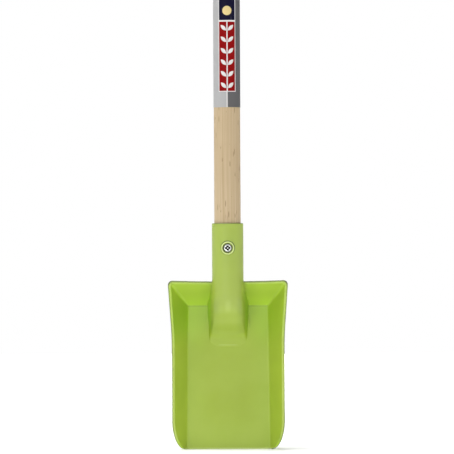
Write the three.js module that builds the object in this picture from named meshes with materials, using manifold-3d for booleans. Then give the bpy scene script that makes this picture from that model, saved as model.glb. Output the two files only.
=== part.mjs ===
// A children's spade: a moulded plastic scoop blade with a tubular socket, a round wooden shaft
// pushed into the socket, the screw that holds it there and the printed label round the shaft.
// Millimetres, +Z up along the shaft, +X to the right, the hollow face of the blade towards -Y.
// The origin is the middle of the cutting edge.

import * as THREE from "three";
import { mergeVertices, toCreasedNormals } from "three/addons/utils/BufferGeometryUtils.js";
import Module from "manifold-3d";

// Whole spade
const overallLength = 750; // cutting edge to the top of the shaft

// Shaft
const shaftDiameter = 25;
const shaftDomeHeight = 7; // rounded top end
const shaftChamfer = 1.5; // lower end, inside the socket
const shaftInsertion = 73; // how far the shaft goes into the socket

// Socket
const socketClearance = 0.3; // radial gap between shaft and bore, and under the shaft's end
const socketWall = 2.1;
const socketLength = 78.8; // heel crease to the mouth of the socket
const socketLip = 0.8; // rounding of the mouth
const socketHeight = 24; // shaft axis in front of the floor, at the heel crease

// Blade floor and walls
const bladeWall = 2.2;
const floorLength = 136.6; // cutting edge to the heel crease
const floorWidthAtEdge = 79.2; // between the side creases
const floorWidthAtHeel = 76.4;
const liftAngle = 5; // degrees between the floor and the shaft
const sideWallAngle = 58; // degrees, from the floor
const heelWallAngle = 53;
const creaseRadius = 2.5; // inside, where the walls meet the floor
const cornerRadius = 2; // inside, where the side walls meet the heel wall

// Rim of the blade, as heights above the floor
const rimAtEdge = 0.6;
const rimHeight = 18.9; // where the front curve ends
const rimCurveLength = 28.5; // the side walls run down to the cutting edge in a quarter ellipse
const rimRise = 2.7; // steady rise from the front curve to the heel
const rimFlare = 5.2; // further rise of the side walls towards the heel
const rimFlareLength = 60;
const rimFlareCurve = 0.4; // share of that length in which the flare curves up
const rimDip = 1.7; // the heel rim is this much lower beside the socket

// Ramp from the socket down to the floor
const rampLength = 38.2; // heel crease to the tip of the ramp, along the shaft
const rampAngle = 50; // degrees, from the shaft axis
const rampBendRadius = 28;
const rampFootRadius = 26; // hollow curve between the slope and the tip
const rampFootAngle = 10; // degrees, what is left of the slope at the tip
const rampTipStep = 0.8; // the ramp ends this far above the floor
const rampTipRun = 1.5; // and goes steeply down to it in this length
const rampTipCrown = 3; // depth of the flattened crown at the tip
const flankDraft = 9; // degrees, how far the flanks lean out towards the floor
const flankDraftAtTip = 35;
const windowRise = 3; // the opening behind the ramp ends this far above the heel wall
const ribThickness = 2; // stop under the shaft and rib behind the ramp

// Screw and its seat
const screwBelowMouth = 23.4; // screw axis, below the socket's mouth
const screwHeadDiameter = 7.8;
const screwHeadHeight = 2.2;
const screwHeadRounding = 1.5; // height of the rounded part
const screwDiameter = 4.2;
const screwLength = 20; // under the head
const screwPointLength = 5;
const screwClearance = 0.3; // around the shank and the point
const recessLength = 4.6; // cross recess, tip to tip
const recessWidth = 1.2;
const recessDepth = 1.5;
const bossDiameter = 12.8;
const bossHeight = 1; // in front of the socket
const bossRounding = 0.5;
const seatDiameter = 9.8;
const seatThickness = 0.9; // plastic left under the screw's head

// Label
const labelBottom = 325; // above the cutting edge
const labelLength = 172;
const labelThickness = 0.2;
const labelGap = 0.05; // film of glue
const labelSeam = 3; // bare strip at the back

// Facets
const roundSteps = 96;
const smallRoundSteps = 48;
const arcSteps = 6;
const crownSteps = 28;
const bendSteps = 9;
const slopeSteps = 4;
const footSteps = 8;
const rimStations = 13;
const flareSteps = 9;

// Values that follow from the dimensions
const rad = THREE.MathUtils.degToRad;
const lift = rad(liftAngle);
const sideAngle = rad(sideWallAngle);
const heelAngle = rad(heelWallAngle);
const leanAtSocket = Math.tan(rad(flankDraft));
const leanAtTip = Math.tan(rad(flankDraftAtTip));
const slope = rad(rampAngle);
const slopeAtTip = rad(rampFootAngle);
const shaftRadius = shaftDiameter / 2;
const boreRadius = shaftRadius + socketClearance;
const socketRadius = boreRadius + socketWall;
const heelHeight = floorLength * Math.cos(lift) + (bladeWall / 2) * Math.sin(lift);
const heelDepth = floorLength * Math.sin(lift) - (bladeWall / 2) * Math.cos(lift);
const shaftY = heelDepth - socketHeight; // the shaft stands in front of the cutting edge
const socketTop = heelHeight + socketLength;
const shaftBottom = socketTop - shaftInsertion;
const rampTip = heelHeight - rampLength;
const screwZ = socketTop - screwBelowMouth;
const seatY = -(boreRadius + seatThickness); // the screw's seat, from the shaft's axis
const beyond = 40; // how far the cutting shapes reach past the blade
const everywhere = overallLength; // half the width of a cutting block

// Solids and geometries

const wasm = await Module();
wasm.setup();

function solid(geometry) {
  const bare = new THREE.BufferGeometry();
  bare.setAttribute("position", geometry.getAttribute("position"));
  bare.setIndex(geometry.getIndex());
  const merged = mergeVertices(bare, 1e-4);
  const index = merged.getIndex().array;
  const triangles = [];
  for (let i = 0; i < index.length; i += 3) {
    const [a, b, c] = index.slice(i, i + 3);
    if (a !== b && b !== c && c !== a) triangles.push(a, b, c);
  }
  const vertProperties = new Float32Array(merged.getAttribute("position").array);
  const triVerts = new Uint32Array(triangles);
  return new wasm.Manifold(new wasm.Mesh({ numProp: 3, vertProperties, triVerts }));
}

function geometryOf(body) {
  const mesh = body.getMesh();
  const geometry = new THREE.BufferGeometry();
  geometry.setAttribute("position", new THREE.BufferAttribute(mesh.vertProperties, mesh.numProp));
  geometry.setIndex(new THREE.BufferAttribute(mesh.triVerts, 1));
  return toCreasedNormals(geometry, rad(25));
}

// A solid of revolution about Z, from a profile of [radius, height] pairs that starts and ends on the axis.
function turned(profile, steps) {
  const points = profile.map(([radius, height]) => new THREE.Vector2(radius, height));
  return new THREE.LatheGeometry(points, steps).rotateX(Math.PI / 2);
}

function cylinder(radius, bottom, top, steps) {
  return turned([[0, bottom], [radius, bottom], [radius, top], [0, top]], steps);
}

function block(xMin, xMax, yMin, yMax, zMin, zMax) {
  const box = new THREE.BoxGeometry(xMax - xMin, yMax - yMin, zMax - zMin);
  return box.translate((xMin + xMax) / 2, (yMin + yMax) / 2, (zMin + zMax) / 2);
}

// A closed skin through flat outlines with the same number of points each. place() puts a point of
// outline number i into space.
function loft(outlines, place) {
  const count = outlines[0].length;
  const last = outlines.length - 1;
  const positions = outlines.flatMap((outline, i) => outline.flatMap((p) => place(p, i).toArray()));
  const index = [];
  for (let i = 0; i < last; i++) {
    for (let j = 0; j < count; j++) {
      const a = i * count + j;
      const b = i * count + ((j + 1) % count);
      index.push(a, b, b + count, a, b + count, a + count);
    }
  }
  const ccw = !THREE.ShapeUtils.isClockWise(outlines[0]);
  for (const i of [0, last]) {
    for (const face of THREE.ShapeUtils.triangulateShape(outlines[i], [])) {
      const turnsLeft = !THREE.ShapeUtils.isClockWise(face.map((k) => outlines[i][k]));
      const corners = face.map((k) => i * count + k);
      if ((turnsLeft === ccw) === (i === 0)) corners.reverse();
      index.push(...corners);
    }
  }
  const geometry = new THREE.BufferGeometry();
  geometry.setAttribute("position", new THREE.Float32BufferAttribute(positions, 3));
  geometry.setIndex(signedVolume(positions, index) < 0 ? index.reverse() : index);
  return geometry;
}

function signedVolume(positions, index) {
  const corner = (k) => new THREE.Vector3().fromArray(positions, 3 * index[k]);
  let sum = 0;
  for (let k = 0; k < index.length; k += 3) {
    sum += corner(k).dot(corner(k + 1).cross(corner(k + 2)));
  }
  return sum / 6;
}

// A polygon whose corners are rounded by an arc that touches both sides.
function roundedPolygon(corners) {
  const points = [];
  corners.forEach(({ at, radius }, i) => {
    if (!radius) {
      points.push(at);
      return;
    }
    const before = corners.at(i - 1).at.clone().sub(at).normalize();
    const after = corners[(i + 1) % corners.length].at.clone().sub(at).normalize();
    const half = before.angleTo(after) / 2;
    const middle = before.clone().add(after).normalize();
    const centre = at.clone().addScaledVector(middle, radius / Math.sin(half));
    const start = at.clone().addScaledVector(before, radius / Math.tan(half)).sub(centre);
    const end = at.clone().addScaledVector(after, radius / Math.tan(half)).sub(centre);
    const sweep = Math.atan2(start.cross(end), start.dot(end));
    for (let step = 0; step <= arcSteps; step++) {
      const spoke = start.clone().rotateAround(new THREE.Vector2(), (sweep * step) / arcSteps);
      points.push(centre.clone().add(spoke));
    }
  });
  return points;
}

// Blade floor and walls, in the blade's own frame: x across, v up the floor, w in front of the floor

const fromBladeFrame = (x, v, w) => new THREE.Vector3(x, -bladeWall / 2 - w, v);
const tiltBlade = (geometry) => geometry.rotateX(-lift);

// How far a wall stands out from its crease at a height above the floor, with the crease rounded.
function wallOffset(height, angle, radius) {
  if (height >= radius * (1 - Math.cos(angle))) return height / Math.tan(angle);
  const turn = Math.acos(1 - height / radius);
  return radius * Math.sin(turn) - radius * Math.tan(angle / 2);
}

// The tray bounded by the floor and the walls, grown outwards by a thickness.
function tray(thickness) {
  const radius = creaseRadius + thickness;
  const heights = [];
  for (let step = 0; step <= arcSteps; step++) {
    heights.push(radius * (1 - Math.cos((sideAngle * step) / arcSteps)));
  }
  heights.push(socketHeight + socketRadius + beyond);
  const outlines = heights.map((height) => {
    const side = thickness * Math.tan(sideAngle / 2) + wallOffset(height, sideAngle, radius);
    const heel = thickness * Math.tan(heelAngle / 2) + wallOffset(height, heelAngle, radius);
    const halfWidth = (v) =>
      THREE.MathUtils.lerp(floorWidthAtEdge, floorWidthAtHeel, v / floorLength) / 2 + side;
    const corner = (sign, v, rounding) => ({
      at: new THREE.Vector2(sign * halfWidth(v), v),
      radius: rounding,
    });
    const top = floorLength + heel;
    const rounding = cornerRadius + thickness;
    return roundedPolygon([
      corner(-1, -beyond, 0),
      corner(1, -beyond, 0),
      corner(1, top, rounding),
      corner(-1, top, rounding),
    ]);
  });
  return tiltBlade(loft(outlines, (p, i) => fromBladeFrame(p.x, p.y, heights[i] - thickness)));
}

// The rim's height above the floor: a quarter ellipse, a straight rise and a flare that curves up first.
const flareEnd = floorLength + rimHeight / Math.tan(heelAngle) + bladeWall;
const flareStart = flareEnd - rimFlareLength;

function rimProfile(v) {
  if (v <= 0) return rimAtEdge;
  if (v < rimCurveLength) {
    const along = 1 - v / rimCurveLength;
    return rimAtEdge + (rimHeight - rimAtEdge) * Math.sqrt(1 - along * along);
  }
  const rise = (rimRise * (v - rimCurveLength)) / (flareEnd - rimCurveLength);
  const along = THREE.MathUtils.clamp((v - flareStart) / rimFlareLength, 0, 1);
  const curve = along < rimFlareCurve ? along ** 2 / (2 * rimFlareCurve) : along - rimFlareCurve / 2;
  return rimHeight + rise + (rimFlare * curve) / (1 - rimFlareCurve / 2);
}

// Everything behind the rim: side profiles stacked across the blade, lower in the middle of the heel.
function behindRim() {
  const stops = [-beyond, 0];
  for (let step = 1; step <= 2 * arcSteps; step++) {
    stops.push(rimCurveLength * (1 - Math.cos((Math.PI * step) / (4 * arcSteps))));
  }
  for (let step = 0; step <= flareSteps; step++) {
    stops.push(flareStart + (rimFlareLength * rimFlareCurve * step) / flareSteps);
  }
  const top = flareEnd + beyond;
  stops.push(flareEnd, top);
  const reach = floorWidthAtEdge / 2 + rimHeight / Math.tan(sideAngle) + beyond / 2;
  const stations = [];
  for (let step = 0; step < rimStations; step++) stations.push(-1 + (2 * step) / (rimStations - 1));
  const outlines = stations.map((station) => {
    const dip = (v) => (rimDip * Math.max(v, 0) * (1 - station * station)) / floorLength;
    const rim = stops.map((v) => new THREE.Vector2(v, rimProfile(v) - dip(v)));
    return [new THREE.Vector2(-beyond, -beyond), ...rim, new THREE.Vector2(top, -beyond)];
  });
  return tiltBlade(loft(outlines, (p, i) => fromBladeFrame(stations[i] * reach, p.x, p.y)));
}

// Socket and ramp, measured from the shaft's axis: x across, y backwards, z up

const toShaftAxis = (geometry) => geometry.translate(0, shaftY, 0);
const floorBehindAxis = (z) => socketHeight - (heelHeight - z) * Math.tan(lift);

// The crown of the socket and the ramp goes straight down, round a bend, down the slope and through a
// hollow curve to the tip.
const tipY = floorBehindAxis(rampTip) - rampTipStep;
const slopeTopY = -socketRadius + rampBendRadius * (1 - Math.cos(slope));
const slopeBottomY = tipY - rampFootRadius * (Math.cos(slopeAtTip) - Math.cos(slope));
const slopeBottom = rampTip + rampFootRadius * (Math.sin(slope) - Math.sin(slopeAtTip));
const slopeTop = slopeBottom + (slopeBottomY - slopeTopY) / Math.tan(slope);
const bendTop = slopeTop + rampBendRadius * Math.sin(slope);

function crownStations() {
  const stations = [{ z: socketTop, y: -socketRadius, turn: 0 }];
  for (let step = 0; step <= bendSteps; step++) {
    const turn = (slope * step) / bendSteps;
    const y = -socketRadius + rampBendRadius * (1 - Math.cos(turn));
    stations.push({ z: bendTop - rampBendRadius * Math.sin(turn), y, turn });
  }
  for (let step = 1; step <= slopeSteps; step++) {
    const z = THREE.MathUtils.lerp(slopeTop, slopeBottom, step / slopeSteps);
    const y = THREE.MathUtils.lerp(slopeTopY, slopeBottomY, step / slopeSteps);
    stations.push({ z, y, turn: slope });
  }
  for (let step = 1; step <= footSteps; step++) {
    const turn = THREE.MathUtils.lerp(slope, slopeAtTip, step / footSteps);
    const z = slopeBottom - rampFootRadius * (Math.sin(slope) - Math.sin(turn));
    const y = slopeBottomY + rampFootRadius * (Math.cos(turn) - Math.cos(slope));
    stations.push({ z, y, turn });
  }
  const inFloor = floorBehindAxis(rampTip) + bladeWall / 2;
  stations.push({ z: rampTip - rampTipRun, y: inFloor, turn: slopeAtTip });
  return stations.map((station) => {
    const left = THREE.MathUtils.clamp((station.z - rampTip) / (bendTop - rampTip), 0, 1);
    const crown = THREE.MathUtils.lerp(rampTipCrown, socketRadius, left ** 2.5);
    const lean = THREE.MathUtils.lerp(leanAtSocket, leanAtTip, (1 - left) ** 3);
    return { ...station, crown, lean };
  });
}

// The tongue under the crown, as wide as the socket: an elliptical crown runs tangent into two flanks,
// which lean out towards the floor, most at the tip. inset takes a wall's thickness off all round.
function tongue(stations, inset) {
  const halfWidth = socketRadius - inset;
  const outlines = stations.map(({ y, turn, crown, lean }) => {
    const depth = Math.max(crown - inset, socketWall);
    const centreY = y + inset / Math.cos(turn) + depth;
    const flankAtCentre = Math.hypot(halfWidth, depth * lean);
    const flank = (atY) => flankAtCentre + (atY - centreY) * lean;
    const touch = Math.atan2(halfWidth, depth * lean);
    const back = socketHeight + beyond;
    const points = [new THREE.Vector2(-flank(back), back)];
    for (let step = 0; step <= crownSteps; step++) {
      const angle = touch * (-1 + (2 * step) / crownSteps);
      points.push(new THREE.Vector2(halfWidth * Math.sin(angle), centreY - depth * Math.cos(angle)));
    }
    points.push(new THREE.Vector2(flank(back), back));
    return points;
  });
  return toShaftAxis(loft(outlines, (p, i) => new THREE.Vector3(p.x, p.y, stations[i].z)));
}

function socketTube(bottom) {
  const profile = [[0, bottom], [socketRadius, bottom]];
  for (let step = 0; step <= arcSteps; step++) {
    const angle = (Math.PI * step) / (2 * arcSteps);
    const inner = socketRadius - socketLip;
    profile.push([inner + socketLip * Math.cos(angle), socketTop - socketLip * (1 - Math.sin(angle))]);
  }
  profile.push([0, socketTop]);
  return toShaftAxis(turned(profile, roundSteps));
}

// Turned about an axis through the screw, from [radius, y] pairs with y measured from the shaft's axis.
function turnedOnScrew(profile) {
  const points = profile.map(([radius, y]) => new THREE.Vector2(radius, y));
  return new THREE.LatheGeometry(points, smallRoundSteps).translate(0, shaftY, screwZ);
}

function screwBoss() {
  const front = -(socketRadius + bossHeight);
  const radius = bossDiameter / 2;
  const profile = [[0, front]];
  for (let step = 0; step <= arcSteps; step++) {
    const angle = (Math.PI * step) / (2 * arcSteps);
    const y = front + bossRounding * (1 - Math.cos(angle));
    profile.push([radius - bossRounding * (1 - Math.sin(angle)), y]);
  }
  profile.push([radius, seatY + seatThickness / 2], [0, seatY + seatThickness / 2]);
  return turnedOnScrew(profile);
}

function screwSeat() {
  const front = -(socketRadius + bossHeight);
  const hole = screwDiameter / 2 + screwClearance;
  const seat = seatDiameter / 2;
  const mouth = seat + bossRounding;
  return turnedOnScrew([
    [0, front - bossHeight],
    [mouth, front - bossHeight],
    [mouth, front],
    [seat, front + bossRounding],
    [seat, seatY],
    [hole, seatY],
    [hole, -shaftRadius / 2],
    [0, -shaftRadius / 2],
  ]);
}

function bladeBody() {
  const slab = (zMin, zMax) => solid(block(-everywhere, everywhere, -everywhere, everywhere, zMin, zMax));
  const outside = solid(tray(bladeWall));
  const walls = outside.subtract(solid(tray(0))).intersect(solid(behindRim())).intersect(slab(0, everywhere));

  const stopTop = shaftBottom - socketClearance;
  const stopBottom = stopTop - ribThickness;
  const overHeel = heelHeight + (socketHeight - socketRadius) / Math.tan(heelAngle) + bladeWall;
  const window = solid(block(-everywhere, everywhere, shaftY, everywhere, 0, overHeel + windowRise));
  const rampOutside = solid(tongue(crownStations(), 0)).intersect(outside);
  const rampInside = solid(tongue(crownStations(), socketWall));
  const rampHollow = rampInside.intersect(slab(0, stopBottom).add(window));

  // Below the bend the tube goes on only behind the axis: in front of it the ramp takes over.
  const behindAxis = solid(block(-everywhere, everywhere, shaftY, everywhere, 0, everywhere));
  const tube = solid(socketTube(bendTop)).add(solid(socketTube(heelHeight)).intersect(behindAxis));

  const rib = solid(block(-ribThickness / 2, ribThickness / 2, -everywhere, everywhere, 0, stopTop));
  const ribs = rampOutside.intersect(slab(stopBottom, stopTop).add(rib));
  const bore = solid(toShaftAxis(cylinder(boreRadius, stopTop, socketTop + beyond, roundSteps)));

  return walls
    .add(rampOutside)
    .add(tube)
    .add(solid(screwBoss()))
    .subtract(rampHollow)
    .add(ribs)
    .subtract(bore)
    .subtract(solid(screwSeat()));
}

// Shaft, screw and label, in the shaft's own frame: the axis is Z

function shaftBody() {
  const profile = [
    [0, shaftBottom],
    [shaftRadius - shaftChamfer, shaftBottom],
    [shaftRadius, shaftBottom + shaftChamfer],
  ];
  const domeSteps = 2 * arcSteps;
  for (let step = 0; step <= domeSteps; step++) {
    const angle = (Math.PI * step) / (2 * domeSteps);
    const height = overallLength - shaftDomeHeight * (1 - Math.sin(angle));
    profile.push([step === domeSteps ? 0 : shaftRadius * Math.cos(angle), height]);
  }
  const pilot = screwProfile(screwClearance).map(([radius, y]) => new THREE.Vector2(radius, y));
  const hole = new THREE.LatheGeometry(pilot, smallRoundSteps).translate(0, 0, screwZ);
  return solid(turned(profile, roundSteps)).subtract(solid(hole));
}

// The screw's shank and point, grown by a clearance, from in front of the shaft to the point.
function screwProfile(clearance) {
  const radius = screwDiameter / 2 + clearance;
  const end = seatY + screwLength + clearance;
  return [[0, seatY], [radius, seatY], [radius, end - screwPointLength], [0, end]];
}

function screwBody() {
  const front = seatY - screwHeadHeight;
  const radius = screwHeadDiameter / 2;
  const profile = [[0, front]];
  for (let step = 1; step <= arcSteps; step++) {
    const angle = (Math.PI * step) / (2 * arcSteps);
    const y = front + screwHeadRounding * (1 - Math.cos(angle));
    profile.push([radius * Math.sin(angle), y]);
  }
  profile.push([radius, seatY], ...screwProfile(0).slice(1));
  const points = profile.map(([r, y]) => new THREE.Vector2(r, y));
  const body = solid(new THREE.LatheGeometry(points, smallRoundSteps));
  const arm = (length, width) =>
    solid(block(-length / 2, length / 2, front - 1, front + recessDepth, -width / 2, width / 2));
  const cross = arm(recessLength, recessWidth).add(arm(recessWidth, recessLength));
  return body.subtract(cross);
}

function labelGeometry() {
  const inner = shaftRadius + labelGap;
  const outer = inner + labelThickness;
  const half = labelSeam / 2 / outer;
  const start = Math.PI / 2 + half;
  const end = Math.PI / 2 - half + 2 * Math.PI;
  const outline = new THREE.Shape();
  outline.absarc(0, 0, outer, start, end, false);
  outline.absarc(0, 0, inner, end, start, true);
  return new THREE.ExtrudeGeometry(outline, {
    depth: labelLength,
    bevelEnabled: false,
    curveSegments: roundSteps,
  });
}

// Materials

const lime = new THREE.MeshStandardMaterial({ color: 0xa3c04a, roughness: 0.5, metalness: 0 });
const beech = new THREE.MeshStandardMaterial({ color: 0xcfb48c, roughness: 0.65, metalness: 0 });
const zinc = new THREE.MeshStandardMaterial({ color: 0xc9ccd0, roughness: 0.3, metalness: 1 });
const film = new THREE.MeshStandardMaterial({ color: 0xb9b8b6, roughness: 0.45, metalness: 0 });

function piece(name, geometry, material) {
  const mesh = new THREE.Mesh(geometry, material);
  mesh.name = name;
  return mesh;
}

// Assembly

const onShaft = new THREE.Group();
onShaft.position.y = shaftY;
onShaft.add(piece("shaft", geometryOf(shaftBody()), beech));

const screw = piece("socket_screw", geometryOf(screwBody()), zinc);
screw.position.z = screwZ;
onShaft.add(screw);

const label = piece("shaft_label", labelGeometry(), film);
label.position.z = labelBottom;
onShaft.add(label);

const spade = new THREE.Group();
spade.name = "childrens_spade";
spade.add(piece("blade", geometryOf(bladeBody()), lime));
spade.add(onShaft);

export default spade;
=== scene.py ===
import math

import bmesh
import bpy
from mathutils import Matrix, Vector


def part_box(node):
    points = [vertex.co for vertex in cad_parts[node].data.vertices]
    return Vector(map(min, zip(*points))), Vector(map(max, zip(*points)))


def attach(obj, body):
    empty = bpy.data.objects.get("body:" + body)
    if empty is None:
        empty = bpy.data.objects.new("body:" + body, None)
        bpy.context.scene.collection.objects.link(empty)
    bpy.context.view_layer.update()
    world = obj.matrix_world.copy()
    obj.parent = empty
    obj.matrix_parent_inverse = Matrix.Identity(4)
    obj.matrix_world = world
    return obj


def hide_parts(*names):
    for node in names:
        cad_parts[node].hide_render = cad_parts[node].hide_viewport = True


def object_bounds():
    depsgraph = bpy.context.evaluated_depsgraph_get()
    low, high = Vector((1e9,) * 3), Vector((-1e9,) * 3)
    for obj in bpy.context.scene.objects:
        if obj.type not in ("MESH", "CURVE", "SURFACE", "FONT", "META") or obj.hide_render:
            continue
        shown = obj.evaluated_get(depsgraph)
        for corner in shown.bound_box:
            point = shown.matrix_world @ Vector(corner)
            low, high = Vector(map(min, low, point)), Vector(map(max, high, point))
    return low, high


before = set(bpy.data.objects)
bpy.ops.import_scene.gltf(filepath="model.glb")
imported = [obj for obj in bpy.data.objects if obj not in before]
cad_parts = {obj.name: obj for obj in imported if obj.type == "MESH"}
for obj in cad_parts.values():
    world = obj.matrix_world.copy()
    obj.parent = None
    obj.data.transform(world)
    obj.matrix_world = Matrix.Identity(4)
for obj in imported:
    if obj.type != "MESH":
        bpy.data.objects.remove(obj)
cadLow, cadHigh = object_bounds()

mm = 0.001

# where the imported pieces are
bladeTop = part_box("blade")[1].z  # the socket's mouth
shaftLow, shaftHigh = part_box("shaft")
screwLow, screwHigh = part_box("socket_screw")
labelLow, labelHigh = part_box("shaft_label")
axisY = (shaftLow.y + shaftHigh.y) / 2
screwZ = (screwLow.z + screwHigh.z) / 2
print("frame read: spade", [round(v / mm, 1) for v in cadHigh - cadLow], "mm")


def inMm(*values):
    return tuple(value * mm for value in values)


# small helpers for meshes

def finishPiece(piece, material, node):
    piece.data.materials.clear()
    piece.data.materials.append(material)
    for face in piece.data.polygons:
        face.use_smooth = True
    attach(piece, "root")
    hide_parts(node)
    print("made", piece.name, len(piece.data.polygons), "faces")


def pieceFromMesh(name, mesh):
    piece = bpy.data.objects.new(name, mesh)
    bpy.context.scene.collection.objects.link(piece)
    return piece


def pieceFromBmesh(name, bm):
    bmesh.ops.recalc_face_normals(bm, faces=bm.faces)
    mesh = bpy.data.meshes.new(name)
    bm.to_mesh(mesh)
    bm.free()
    return pieceFromMesh(name, mesh)


def bridgeRings(bm, rings, closed=True):
    for lower, upper in zip(rings, rings[1:]):
        count = len(lower)
        for i in range(count if closed else count - 1):
            j = (i + 1) % count
            bm.faces.new((lower[i], lower[j], upper[j], upper[i]))


def roundRing(bm, radius, steps, place):
    ring = []
    for i in range(steps):
        angle = 2 * math.pi * i / steps
        ring.append(bm.verts.new(place(radius * math.cos(angle), radius * math.sin(angle))))
    return ring


def capRing(bm, ring, point):
    centre = bm.verts.new(point)
    for i in range(len(ring)):
        bm.faces.new((ring[i], ring[(i + 1) % len(ring)], centre))


def smoothStep(low, high, value):
    t = min(1, max(0, (value - low) / (high - low)))
    return t * t * (3 - 2 * t)


# small helpers for shader nodes

def setInputs(tree, node, inputs):
    for key, value in inputs.items():
        if hasattr(value, "is_output"):
            tree.links.new(value, node.inputs[key])
        else:
            node.inputs[key].default_value = value


def addNode(tree, kind, inputs=None, **settings):
    made = tree.nodes.new("ShaderNode" + kind)
    for key, value in settings.items():
        setattr(made, key, value)
    setInputs(tree, made, inputs or {})
    return made


def math2(tree, operation, a, b=0.0):
    return addNode(tree, "Math", {0: a, 1: b}, operation=operation).outputs[0]


def product(tree, *values):
    result = values[0]
    for value in values[1:]:
        result = math2(tree, "MULTIPLY", result, value)
    return result


def vector2(tree, operation, a, b):
    return addNode(tree, "VectorMath", {0: a, 1: b}, operation=operation).outputs[0]


def dotProduct(tree, a, b):
    made = addNode(tree, "VectorMath", {0: a, 1: b}, operation="DOT_PRODUCT")
    return made.outputs["Value"]


def lengthOf(tree, vector):
    return addNode(tree, "VectorMath", {0: vector}, operation="LENGTH").outputs["Value"]


def splitVector(tree, vector):
    return addNode(tree, "SeparateXYZ", {0: vector}).outputs


def objectPlace(tree):
    return addNode(tree, "TexCoord").outputs["Object"]


def addNoise(tree, vector, scale, detail, roughness=0.5):
    inputs = {"Vector": vector, "Scale": scale, "Detail": detail, "Roughness": roughness}
    return addNode(tree, "TexNoise", inputs).outputs


def mixColour(tree, factor, a, b):
    made = addNode(tree, "Mix", {0: factor, 6: a, 7: b}, data_type="RGBA")
    return made.outputs[2]


def mapRange(tree, value, fromLow, fromHigh, toLow=0.0, toHigh=1.0, smooth=True):
    kind = "SMOOTHSTEP" if smooth else "LINEAR"
    inputs = {0: value, 1: fromLow, 2: fromHigh, 3: toLow, 4: toHigh}
    return addNode(tree, "MapRange", inputs, interpolation_type=kind).outputs[0]


def fadeOut(tree, value, low, high):
    return mapRange(tree, value, low, high, 1.0, 0.0)


def inBand(tree, value, low, high, soft):
    rise = mapRange(tree, value, low - soft, low + soft)
    return product(tree, rise, fadeOut(tree, value, high - soft, high + soft))


def colour(red, green, blue):
    def linear(v):
        v /= 255
        return v / 12.92 if v <= 0.04045 else ((v + 0.055) / 1.055) ** 2.4
    return (linear(red), linear(green), linear(blue), 1.0)


def newMaterial(name, **shader):
    material = bpy.data.materials.new(name)
    material.use_nodes = True
    tree = material.node_tree
    bsdf = tree.nodes["Principled BSDF"]
    for key, value in shader.items():
        bsdf.inputs[key.replace("_", " ")].default_value = value
    return material, tree, bsdf


# links a material's colour, roughness and fine relief to its shader
def finishShader(tree, bsdf, base, rough, relief, strength, depth):
    bump = addNode(tree, "Bump", {"Strength": strength, "Distance": depth, "Height": relief})
    tree.links.new(base, bsdf.inputs["Base Color"])
    tree.links.new(rough, bsdf.inputs["Roughness"])
    tree.links.new(bump.outputs[0], bsdf.inputs["Normal"])


def newGroup(name, inputs, outputs):
    group = bpy.data.node_groups.new(name, "ShaderNodeTree")
    for label, kind, value in inputs:
        socket = group.interface.new_socket(label, in_out="INPUT", socket_type=kind)
        if value is not None:
            socket.default_value = value
    for label, kind in outputs:
        group.interface.new_socket(label, in_out="OUTPUT", socket_type=kind)
    given = group.nodes.new("NodeGroupInput").outputs
    return group, given, group.nodes.new("NodeGroupOutput").inputs


def useGroup(tree, group, inputs):
    made = tree.nodes.new("ShaderNodeGroup")
    made.node_tree = group
    setInputs(tree, made, inputs)
    return made.outputs


# shared effect: fine grain with a slow mottle over it, sizes in millimetres
def makeSurfaceGrain():
    group, given, put = newGroup(
        "surfaceGrain",
        [("Coordinates", "NodeSocketVector", None), ("Grain Size", "NodeSocketFloat", 0.4),
         ("Mottle Size", "NodeSocketFloat", 30.0)],
        [("Grain", "NodeSocketFloat"), ("Mottle", "NodeSocketFloat")],
    )
    fine = math2(group, "DIVIDE", 1 / mm, given["Grain Size"])
    slow = math2(group, "DIVIDE", 1 / mm, given["Mottle Size"])
    grain = addNoise(group, given["Coordinates"], fine, 3.0)
    mottle = addNoise(group, given["Coordinates"], slow, 4.0)
    group.links.new(grain["Fac"], put["Grain"])
    group.links.new(mottle["Fac"], put["Mottle"])
    return group


# shared effect: faint scratches from handling, in patches and running along one axis
def makeScuffs():
    group, given, put = newGroup(
        "handlingScuffs",
        [("Coordinates", "NodeSocketVector", None), ("Stretch", "NodeSocketVector", (1, 1, 1)),
         ("Amount", "NodeSocketFloat", 0.5)],
        [("Scuff", "NodeSocketFloat")],
    )
    stretched = vector2(group, "MULTIPLY", given["Coordinates"], given["Stretch"])
    lines = addNoise(group, stretched, 1.0, 5.0, 0.7)
    patches = addNoise(group, given["Coordinates"], 60.0, 2.0)
    sharp = mapRange(group, lines["Fac"], 0.6, 0.72)
    where = mapRange(group, patches["Fac"], 0.48, 0.62)
    group.links.new(product(group, sharp, where, given["Amount"]), put["Scuff"])
    return group


surfaceGrain = makeSurfaceGrain()
handlingScuffs = makeScuffs()


# blade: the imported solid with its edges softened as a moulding's are
# ranges ending in Z run up the blade, in Aside out from its middle, in Height up from its floor

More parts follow.
